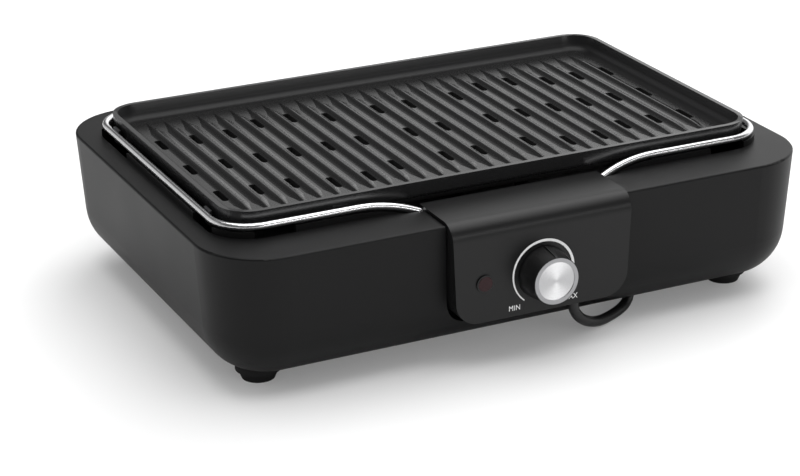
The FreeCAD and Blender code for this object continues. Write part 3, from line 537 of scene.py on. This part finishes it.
# %% [markdown]
# The plate is cast and sprayed with a dark non-stick coat. Close up the coat is slightly pebbled and holds
# fine light flecks. Food and brushes burnish the rib crests smoother, and the crests are painted lighter as a
# highlight. Painted masks would do, but height picks out the crests, since they are the only faces between
# the groove floors and the rim at that level. Height also paints the walls of the drip slots near black, as
# painted shade, and makes them rougher. The walls round the recess are never polished, so a band along the
# plate's edge mixes in a matter shader.

# %% Non-stick coat
crest_low = 101.9 * MM
crest_high = 103.0 * MM
slot_mouth = 100.97 * MM
slot_shade = 100.6 * MM
wall_starts = -15.0 * MM
wall_full_from = -11.0 * MM
wall_full_to = -5.0 * MM
wall_ends = -3.0 * MM
pebble_scale = 700.0
pebble_detail = 2.0
pebble_depth = 0.0015 * MM
pebble_roughness = 0.06
fleck_scale = 650.0
fleck_edge = 0.2
fleck_core = 0.1
fleck_share = 0.15
coat_dark = (0.0045, 0.0045, 0.0047, 1.0)
# A lighter colour for the rib crests: a painted highlight.
coat_crest_highlight = (0.011, 0.011, 0.0114, 1.0)
coat_fleck = (0.03, 0.03, 0.031, 1.0)
# Near black for the walls of the drip slots: painted shade.
slot_shade_colour = (0.001, 0.001, 0.001, 1.0)
coat_roughness = 0.24
coat_specular = 0.64
crest_polish = 0.03
slot_roughness = 0.6
wall_roughness = 0.4
wall_specular = 0.26
plate_low, plate_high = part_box("grill_plate")


def past_edge(paint, place, axis):
    """How far a place lies past the plate's nearer edge on one axis: negative inside."""
    index = "XYZ".index(axis)
    middle = (plate_low[index] + plate_high[index]) / 2
    return paint.math("ABSOLUTE", coordinate(paint, place, axis) - middle) - (plate_high[index] - middle)


plate_coat, paint = new_finish("plate_coat")
place = own_place(paint)
height = coordinate(paint, place, "Z")
edge = paint.math("MAXIMUM", past_edge(paint, place, "X"), past_edge(paint, place, "Y"))
wall = ramp(paint, edge, wall_starts, wall_full_from) * ramp(paint, edge, wall_ends, wall_full_to)
crest = ramp(paint, height, crest_low, crest_high)
slot_shade_mask = ramp(paint, height, slot_mouth, slot_shade)
pebble = noise(paint, place, pebble_scale, pebble_detail)
fleck = paint.node("ShaderNodeTexVoronoi", inputs={"Vector": place, "Scale": fleck_scale}, result="Distance")
fleck_mask = ramp(paint, fleck, fleck_edge, fleck_core, "LINEAR") * fleck_share
# The crests are painted lighter, as a highlight, and the flecks are laid over the coat.
coat_unshaded = mixed(paint, fleck_mask, mixed(paint, crest, coat_dark, coat_crest_highlight), coat_fleck)
# The walls of the drip slots are painted near black, as shade.
coat_colour = mixed(paint, slot_shade_mask, coat_unshaded, slot_shade_colour)
coat_relief = bumped(paint, pebble, pebble_depth)
coat_wear = slot_shade_mask * slot_roughness - crest * crest_polish
coat_shader = paint.node("ShaderNodeBsdfPrincipled", inputs={
    "Base Color": coat_colour, "Roughness": coat_roughness + pebble * pebble_roughness + coat_wear,
    "Normal": coat_relief, "Specular IOR Level": coat_specular})
wall_shader = paint.node("ShaderNodeBsdfPrincipled", inputs={
    "Base Color": coat_colour, "Roughness": wall_roughness + pebble * pebble_roughness,
    "Normal": coat_relief, "Specular IOR Level": wall_specular})
show(paint, paint.node("ShaderNodeMixShader", inputs={0: wall, 1: coat_shader, 2: wall_shader}))
dress(plate_coat, "grill_plate")
print("crests from", crest_low, "to", crest_high)

# %% [markdown]
# The knob's face is a metal disc turned on a lathe. Its fine rings spread every highlight outwards into
# bright wedges. An anisotropic shader would need its tangents set at each point. Rings in the bump and two
# pale wedges painted into the colour as highlights give much the same look, and they bake. The price is
# that these painted highlights turn with the knob, where real highlights would stay with the lamps.

# %% Spun disc
knob_axis_height = 58.0 * MM
spun_ring_spacing = 0.35 * MM
spun_depth = 0.02 * MM
ripple_share = 0.5
chatter_scale = 9000.0
chatter_detail = 2.0
wedge_power = 3.0
wedge_least_radius = 0.2 * MM
# The disc's darker tone, and the pale tone of its painted highlight wedges.
spun_dark = (0.54, 0.54, 0.55, 1.0)
spun_painted_highlight = (0.97, 0.97, 0.98, 1.0)
spun_roughness = 0.22
spun_roughness_spread = 0.08

spun_disc, paint = new_finish("spun_disc")
place = own_place(paint)
across = coordinate(paint, place, "X")
upward = coordinate(paint, place, "Z") - knob_axis_height
out = (across * across + upward * upward) ** 0.5
ripple = paint.math("SINE", out * (2 * math.pi / spun_ring_spacing))
chatter = paint.node("ShaderNodeTexNoise", {"noise_dimensions": "1D"},
                     {"W": out * chatter_scale, "Detail": chatter_detail})
steepness = paint.math("DIVIDE", paint.math("ABSOLUTE", upward), out + wedge_least_radius)
# The colour paints two highlight wedges, above and below the middle of the disc.
spun_shader = paint.node("ShaderNodeBsdfPrincipled", inputs={
    "Base Color": mixed(paint, steepness ** wedge_power, spun_dark, spun_painted_highlight), "Metallic": 1.0,
    "Roughness": spun_roughness + chatter * spun_roughness_spread,
    "Normal": bumped(paint, ripple * ripple_share + chatter, spun_depth)})
show(paint, spun_shader)
dress(spun_disc, "knob_disc")
print("rings every", spun_ring_spacing, "m")

# %% [markdown]
# The lamp is off in the photo, so its lens is only a deep red. A clear lens over a lit lamp could be built,
# but at this size only its colour and gloss show. A faintly mottled gloss plastic does for the lens, and a
# paler one for the lamp behind it.

# %% Lamp finishes
lens_scale = 500.0
lens_detail = 1.0
lens_dark = (0.016, 0.003, 0.0045, 1.0)
lens_light = (0.026, 0.006, 0.008, 1.0)
lens_roughness = 0.2
lens_roughness_spread = 0.08
lens_specular = 0.26
lamp_tint = (1.0, 0.62, 0.55)

lens_red, paint = new_finish("lens_red")
mottle = noise(paint, own_place(paint), lens_scale, lens_detail)
lens_shader = paint.node("ShaderNodeBsdfPrincipled", inputs={
    "Base Color": mixed(paint, mottle, lens_dark, lens_light),
    "Roughness": lens_roughness + mottle * lens_roughness_spread, "Specular IOR Level": lens_specular})
show(paint, lens_shader)
lamp_sleeve = moulded("lamp_sleeve", 0.4, 0.2, 0.0008, 0.00001, 0.5, lamp_tint)
dress(lens_red, "lamp_lens")
dress(lamp_sleeve, "lamp_body")
print("lens from", lens_dark[0], "to", lens_light[0], "red")

# %% [markdown]
# The heater's sheath is steel that has gone brown and blue from its own heat, in slow patches, with fine
# scale on it. Where it is hottest could be painted by hand. Noise is enough for a part that stays under the
# plate until the plate is lifted.

# %% Heater finish
heat_scale = 38.0
heat_detail = 3.0
heat_brown_at = 0.35
heat_blue_at = 0.65
heat_brown = (0.10, 0.085, 0.075, 1.0)
heat_blue = (0.16, 0.16, 0.175, 1.0)
flake_scale = 600.0
flake_detail = 3.0
flake_depth = 0.03 * MM
heater_metallic = 0.9
heater_roughness = 0.42
heater_roughness_spread = 0.14

heater_sheath, paint = new_finish("heater_sheath")
place = own_place(paint)
heat = ramp(paint, noise(paint, place, heat_scale, heat_detail), heat_brown_at, heat_blue_at, "LINEAR")
flakes = noise(paint, place, flake_scale, flake_detail)
heater_shader = paint.node("ShaderNodeBsdfPrincipled", inputs={
    "Base Color": mixed(paint, heat, heat_brown, heat_blue), "Metallic": heater_metallic,
    "Roughness": heater_roughness + flakes * heater_roughness_spread,
    "Normal": bumped(paint, flakes, flake_depth)})
show(paint, heater_shader)
dress(heater_sheath, "heating_element")
print("heater dressed, flakes", flake_depth, "m deep")

# %% [markdown]
# Screws hold the feet, the drip pan and the back of the control box. All are the same pan-head screw, so one
# Geometry Nodes tree draws it once, cuts its cross recess and puts a copy on every point, each turned by a
# seeded amount as a screwdriver would leave it. Copies in Python would serve too, but the tree shows its
# sizes as inputs.

# %% One screw by Geometry Nodes
head_segments = 28
head_rings = 14
shank_sides = 18
recess_reach = 1.15
recess_depth = 1.3


def new_tree(name, inputs, output):
    """A Geometry Nodes tree with named inputs, each with its kind, and one geometry as its output."""
    tree = bpy.data.node_groups.new(name, "GeometryNodeTree")
    for socket, kind in inputs.items():
        tree.interface.new_socket(socket, in_out="INPUT", socket_type="NodeSocket" + kind)
    tree.interface.new_socket(output, in_out="OUTPUT", socket_type="NodeSocketGeometry")
    return tree, Paint(tree)


def given(grow, name):
    return grow.node("NodeGroupInput", result=name)


def triple(grow, x, y, z):
    return grow.node("ShaderNodeCombineXYZ", inputs={"X": x, "Y": y, "Z": z})


def placed(grow, shape, translation=(0, 0, 0), rotation=(0, 0, 0), scale=(1, 1, 1)):
    return grow.node("GeometryNodeTransform", inputs={"Geometry": shape, "Translation": translation,
                                                      "Rotation": rotation, "Scale": scale})


screw_tree, grow = new_tree("screw_set", {
    "Points": "Geometry", "Head Radius": "Float", "Head Height": "Float", "Shank Radius": "Float",
    "Shank Length": "Float", "Recess Width": "Float", "Seed": "Int", "Finish": "Material"}, "Screws")
head_height = given(grow, "Head Height")
head_radius = given(grow, "Head Radius")
dome = grow.node("GeometryNodeMeshUVSphere", inputs={"Segments": head_segments, "Rings": head_rings,
                                                     "Radius": 1.0})
dome = placed(grow, dome, scale=triple(grow, head_radius, head_radius, head_height))
bar_size = triple(grow, head_radius * recess_reach, given(grow, "Recess Width"), head_height * recess_depth)
bar = grow.node("GeometryNodeMeshCube", inputs={"Size": bar_size})
bar = placed(grow, bar, triple(grow, 0.0, 0.0, head_height))
bar_across = placed(grow, bar, rotation=(0, 0, math.pi / 2))
cross = grow.node("GeometryNodeJoinGeometry", inputs={0: [bar, bar_across]})
head = grow.node("GeometryNodeMeshBoolean", {"operation": "DIFFERENCE"}, {"Mesh 1": dome, "Mesh 2": cross})
shank_length = given(grow, "Shank Length")
shank = grow.node("GeometryNodeMeshCylinder", inputs={
    "Vertices": shank_sides, "Radius": given(grow, "Shank Radius"), "Depth": shank_length})
shank = placed(grow, shank, triple(grow, 0.0, 0.0, shank_length * -0.5))
one_screw = grow.node("GeometryNodeJoinGeometry", inputs={0: [head, shank]})
copies = grow.node("GeometryNodeInstanceOnPoints", inputs={"Points": given(grow, "Points"),
                                                           "Instance": one_screw})
# Inputs 2 and 3 of a Random Value node are its least and greatest number, and output 1 is the number drawn.
spin = grow.node("FunctionNodeRandomValue", {"data_type": "FLOAT"},
                 {2: 0.0, 3: math.pi / 2, "Seed": given(grow, "Seed")}, 1)
copies = grow.node("GeometryNodeRotateInstances", inputs={"Instances": copies,
                                                          "Rotation": triple(grow, 0.0, 0.0, spin)})
solid = grow.node("GeometryNodeRealizeInstances", inputs={"Geometry": copies})
solid = grow.node("GeometryNodeSetMaterial", inputs={"Geometry": solid, "Material": given(grow, "Finish")})
grow.node("NodeGroupOutput", inputs={"Screws": solid})
print("screw tree:", len(screw_tree.nodes), "nodes")

# %% [markdown]
# Each kind of screw faces its own way: down in the feet, up in the pan, and backwards on the control box.
# The tree only draws upright screws. Turning every copy in the tree would need one more input, so the places
# are turned back first, and the finished mesh is turned to face the right way.

# %% Screws in their places
foot_screw_z = 4.6
pan_screw_z = 49.2
shell_screw_y = -100.2
foot_spots = [(x, y, foot_screw_z) for x in (-170.0, 170.0) for y in (-90.5, 118.5)]
pan_spots = [(x, y, pan_screw_z) for x in (-120.0, 120.0) for y in (-33.5, 68.5)]
shell_spots = [(x, shell_screw_y, z) for x in (-51.0, 51.0) for z in (45.0, 79.0)]
heads_down = Matrix.Rotation(math.pi, 4, "X")
heads_up = Matrix.Identity(4)
heads_back = Matrix.Rotation(-math.pi / 2, 4, "X")
first_seed = 3
screw_sizes = {"Head Radius": 3.4 * MM, "Head Height": 1.95 * MM, "Shank Radius": 1.7 * MM,
               "Recess Width": 0.8 * MM, "Finish": finishes["screw_zinc"]}
# Each has the node it replaces, its body, the way it faces, the length of its shank and its places.
screw_sets = {
    "foot_screw_heads": ("foot_screws", "base", heads_down, 16.0, foot_spots),
    "pan_screw_heads": ("pan_screws", "base", heads_up, 14.0, pan_spots),
    "shell_screw_heads": ("shell_screws", "heater_unit", heads_back, 12.0, shell_spots),
}


def grown(name, tree, spots, values):
    """The plain mesh that a tree makes of some points, its inputs set by name."""
    points = bpy.data.meshes.new(name + "_points")
    points.from_pydata([tuple(spot) for spot in spots], [], [])
    holder = bpy.data.objects.new(name + "_points", points)
    modifier = holder.modifiers.new(tree.name, "NODES")
    modifier.node_group = tree
    for item in tree.interface.items_tree:
        if item.in_out == "INPUT" and item.name in values:
            modifier[item.identifier] = values[item.name]
    mesh = taken_mesh(holder)
    mesh.name = name
    return mesh


def shade_round(mesh, sharp_degrees=35.0):
    """Smooth shading that keeps edges sharper than an angle."""
    mesh.shade_smooth()
    mesh.set_sharp_from_angle(angle=math.radians(sharp_degrees))


for seed, (name, (node, body, turn, length, spots)) in enumerate(screw_sets.items(), first_seed):
    turned_back = [turn.inverted() @ (Vector(spot) * MM) for spot in spots]
    sizes = {**screw_sizes, "Shank Length": length * MM, "Seed": seed}
    screw_mesh = grown(name, screw_tree, turned_back, sizes)
    screw_mesh.transform(turn)
    shade_round(screw_mesh)
    screws = new_piece(name, screw_mesh)
    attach(screws, body)
    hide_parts(node)
    print(name, len(screw_mesh.polygons), "faces")

# %% [markdown]
# The plug is a body of revolution with a ribbed neck that keeps the lead from kinking. A Screw modifier could
# spin its profile. A short function that spins radius against length round the lead's axis does it with the
# sizes in view, and the pins use it too.

# %% Plug profile
plug_start = Vector((-13.0, 251.2, 17.6)) * MM
plug_length = 56.0
lathe_sides = 48
neck_start = [(0.0, 4.0), (0.3, 4.5)]
neck_ring_count = 6
neck_first_ring = 0.6
neck_ring_pitch = 2.8
neck_radius = 4.5
neck_flare = 0.32
neck_crest = 1.0
neck_ring = [(0.2, 0.9), (0.7, 0.15), (1.0, 0.0), (1.8, 0.0), (2.1, 0.15), (2.6, 0.9)]
shoulder = [(17.6, 9.2), (18.6, 10.4), (20.0, 11.1), (24.0, 12.3), (30.0, 14.1), (36.0, 15.9), (39.5, 16.9),
            (41.5, 17.4), (43.5, 17.55)]
front = [(52.0, 17.55), (54.2, 17.5), (55.2, 17.1), (55.8, 16.4), (plug_length, 15.4)]


def round_axis(middle, turns, radius):
    """Places round an axis along X, at some angles and one radius in millimetres."""
    return [middle + Vector((0, math.cos(t), math.sin(t))) * radius * MM for t in turns]


def lathe_mesh(name, start, profile):
    """Spins a profile of (length, radius) in millimetres round an axis that runs to -X from a start."""
    form = bmesh.new()
    rings = []
    for along, radius in profile:
        middle = start + Vector((-along * MM, 0, 0))
        rings.append([form.verts.new(spot) for spot in round_axis(middle, circle_turns(lathe_sides), radius)])
    bridge(form, rings)
    close_ends(form, rings)
    bmesh.ops.recalc_face_normals(form, faces=form.faces)
    return mesh_from(form, name)


neck = list(neck_start)
for ring in range(neck_ring_count):
    start = neck_first_ring + ring * neck_ring_pitch
    outer = neck_radius + (start + neck_crest) * neck_flare
    neck += [(start + along, outer - drop) for along, drop in neck_ring]
plug_shell = lathe_mesh("plug_shell", plug_start, neck + shoulder + front)
print("plug shell:", len(plug_shell.polygons), "faces")

# %% [markdown]
# Grip ribs stand round the plug's cone. They could be modelled one by one, but since they repeat, a second
# small tree stretches one ball into a rib, leans it along the cone and turns each copy outwards. Ribs and
# shell then become one mesh, as they are one moulding.

# %% Plug with grip ribs
rib_count = 14
rib_along = 30.0
rib_radius = 13.7
rib_length = 8.0 * MM
rib_width = 1.0 * MM
rib_lean = math.atan(0.305)
rib_segments = 16
rib_rings = 12


def joined_mesh(name, meshes):
    form = bmesh.new()
    for part in meshes:
        form.from_mesh(part)
    return mesh_from(form, name)


rib_tree, grow = new_tree("grip_ribs", {
    "Points": "Geometry", "Rib Length": "Float", "Rib Width": "Float", "Lean": "Float",
    "Axis": "Vector"}, "Ribs")
given_width = given(grow, "Rib Width")
rib = grow.node("GeometryNodeMeshUVSphere", inputs={"Segments": rib_segments, "Rings": rib_rings,
                                                    "Radius": 1.0})
rib = placed(grow, rib, scale=triple(grow, given(grow, "Rib Length"), given_width, given_width))
rib = placed(grow, rib, rotation=triple(grow, 0.0, given(grow, "Lean"), 0.0))
spot = grow.node("GeometryNodeInputPosition")
outward = grow.node("ShaderNodeVectorMath", {"operation": "SUBTRACT"}, {0: spot, 1: given(grow, "Axis")})
turned = grow.node("FunctionNodeAlignRotationToVector", {"axis": "Z", "pivot_axis": "X"},
                   {"Vector": outward})
copies = grow.node("GeometryNodeInstanceOnPoints", inputs={"Points": given(grow, "Points"),
                                                           "Instance": rib, "Rotation": turned})
solid = grow.node("GeometryNodeRealizeInstances", inputs={"Geometry": copies})
grow.node("NodeGroupOutput", inputs={"Ribs": solid})

rib_middle = plug_start + Vector((-rib_along * MM, 0, 0))
rib_turns = [2 * math.pi * (k + 0.5) / rib_count for k in range(rib_count)]
rib_mesh = grown("plug_ribs", rib_tree, round_axis(rib_middle, rib_turns, rib_radius), {
    "Rib Length": rib_length, "Rib Width": rib_width, "Lean": rib_lean, "Axis": tuple(rib_middle)})
plug_mesh = joined_mesh("plug_moulding", [plug_shell, rib_mesh])
shade_round(plug_mesh)
plug = new_piece("plug_moulding", plug_mesh, finishes["plug_plastic"])
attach(plug, "base")
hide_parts("plug_body")
print("plug:", len(plug_mesh.polygons), "faces and", rib_count, "grip ribs")

# %% [markdown]
# The two pins are nickel-plated and have rounded tips, so that they find their holes. Cylinders with a bevel
# would do. The plug's own lathe is at hand, and a short profile gives the tip its shape.

# %% Pins
pin_sink = 0.5
pin_half_spacing = 9.5
pin_profile = [(0.0, 2.38), (17.2, 2.38), (18.2, 2.1), (18.7, 1.6), (18.95, 0.8)]
pin_starts = [plug_start + Vector((pin_sink - plug_length, side * pin_half_spacing, 0)) * MM
              for side in (-1, 1)]
pin_mesh = joined_mesh("plug_pin_pair", [lathe_mesh("pin", start, pin_profile) for start in pin_starts])
shade_round(pin_mesh)
pins = new_piece("plug_pin_pair", pin_mesh, finishes["pin_nickel"])
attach(pins, "base")
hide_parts("plug_pins")
print("pins:", len(pin_mesh.polygons), "faces")

# %% [markdown]
# A flat strap holds the coil. It follows a rounded outline round all the turns at one place, with a little
# slack, and its edges are slightly rounded, which a plain extruded band would lack.

# %% Strap round the coil
strap_angle = math.radians(215.0)
strap_inner = 23.6
strap_outer = 53.0
strap_low = 0.2
strap_high = 16.5
strap_corner = 5.0
strap_sharp_degrees = 50.0
strap_section = [(-4.4, 0.15), (-4.2, 0.0), (4.2, 0.0), (4.4, 0.15), (4.4, 0.6), (4.2, 0.75), (-4.2, 0.75),
                 (-4.4, 0.6)]
corner_steps = 8
corner_ways = ((1, 1), (-1, 1), (-1, -1), (1, -1))

strap_line = []
for turn, (side_r, side_z) in enumerate(corner_ways):
    middle_r = (strap_outer - strap_corner) if side_r > 0 else (strap_inner + strap_corner)
    middle_z = (strap_high - strap_corner) if side_z > 0 else (strap_low + strap_corner)
    for step in range(corner_steps + 1):
        angle = math.pi / 2 * (turn + step / corner_steps)
        strap_line.append((middle_r, middle_z, math.cos(angle), math.sin(angle)))
radial = Vector((math.cos(strap_angle), math.sin(strap_angle), 0))
sideways = Vector((-math.sin(strap_angle), math.cos(strap_angle), 0))
coil_axis = Vector((coil_middle[0], coil_middle[1], 0))
form = bmesh.new()
loops = []
for middle_r, middle_z, out_r, out_z in strap_line:
    loop = []
    for side, inset in strap_section:
        reach = strap_corner - inset
        lifted = Vector((0, 0, middle_z + out_z * reach))
        spot = coil_axis + radial * (middle_r + out_r * reach) + sideways * side + lifted
        loop.append(form.verts.new(spot * MM))
    loops.append(loop)
bridge(form, loops + loops[:1])
bmesh.ops.recalc_face_normals(form, faces=form.faces)
strap_mesh = mesh_from(form, "coil_strap")
shade_round(strap_mesh, strap_sharp_degrees)
strap = new_piece("coil_strap", strap_mesh, finishes["tie_plastic"])
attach(strap, "base")
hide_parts("coil_tie")
print("strap:", len(strap_mesh.polygons), "faces")

# %% [markdown]
# The dial is printed on the control box. Its arc widens from the low end to the top and then keeps its width.
# A decal texture would need an image. Print is a skin of ink, so each mark is a thin flat mesh that lies on
# the plastic.

# %% Arc of the dial
fascia_y = -146.5 * MM
ink_stand = 0.06 * MM
dial_radius = 21.2 * MM
dial_from = math.radians(231.0)
dial_sweep = math.radians(-282.0)
dial_thin = 0.8 * MM
dial_thick = 1.7 * MM
dial_thick_from = 0.5
dial_steps = 120
weld_distance = 1e-7
white_tint = (1.0, 1.0, 1.0)

ink_white = moulded("ink_white", 0.8, 0.55, 0.0004, 0.00001, 0.4, white_tint)


def ink_piece(name, mesh):
    """Puts a printed mark on the heater unit, its seams welded and its faces turned outwards."""
    form = bmesh.new()
    form.from_mesh(mesh)
    bmesh.ops.remove_doubles(form, verts=form.verts, dist=weld_distance)
    bmesh.ops.recalc_face_normals(form, faces=form.faces)
    form.to_mesh(mesh)
    form.free()
    piece = new_piece(name, mesh, ink_white)
    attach(piece, "heater_unit")


form = bmesh.new()
rings = []
for step in range(dial_steps + 1):
    share = step / dial_steps
    angle = dial_from + dial_sweep * share
    width = dial_thin + (dial_thick - dial_thin) * min(share / dial_thick_from, 1)
    inner = dial_radius - width / 2
    outer = dial_radius + width / 2
    ring = []
    for radius, y in ((inner, fascia_y - ink_stand), (outer, fascia_y - ink_stand), (outer, fascia_y),
                      (inner, fascia_y)):
        x = radius * math.cos(angle)
        z = knob_axis_height + radius * math.sin(angle)
        ring.append(form.verts.new((x, y, z)))
    rings.append(ring)
bridge(form, rings)
close_ends(form, rings)
ink_piece("dial_arc", mesh_from(form, "dial_arc"))
print("dial arc:", dial_steps, "steps")

# %% [markdown]
# The words MIN and MAX stand under the ends of the arc. Letters could be traced by hand. A text curve with
# Blender's own font gives them at once, and its extrusion is the thickness of the ink.

# %% Words of the dial
word_size = 5.0 * MM
word_spacing = 1.05
word_squeeze = 0.9
word_z = 37.5 * MM
# Each has its word and how far right of the knob it stands.
dial_words = {"dial_low_end": ("MIN", -20.2 * MM), "dial_high_end": ("MAX", 19.6 * MM)}
for name, (word, x) in dial_words.items():
    text = bpy.data.curves.new(name, "FONT")
    text.body = word
    text.size = word_size
    text.align_x = "CENTER"
    text.align_y = "CENTER"
    text.space_character = word_spacing
    text.extrude = ink_stand / 2
    word_mesh = taken_mesh(bpy.data.objects.new(name + "_text", text))
    word_mesh.name = name
    word_mesh.transform(Matrix.Translation((x, fascia_y - ink_stand / 2, word_z))
                        @ Matrix.Rotation(math.pi / 2, 4, "X")
                        @ Matrix.Diagonal((word_squeeze, 1.0, 1.0, 1.0)))
    ink_piece(name, word_mesh)
print("dial words:", len(dial_words))
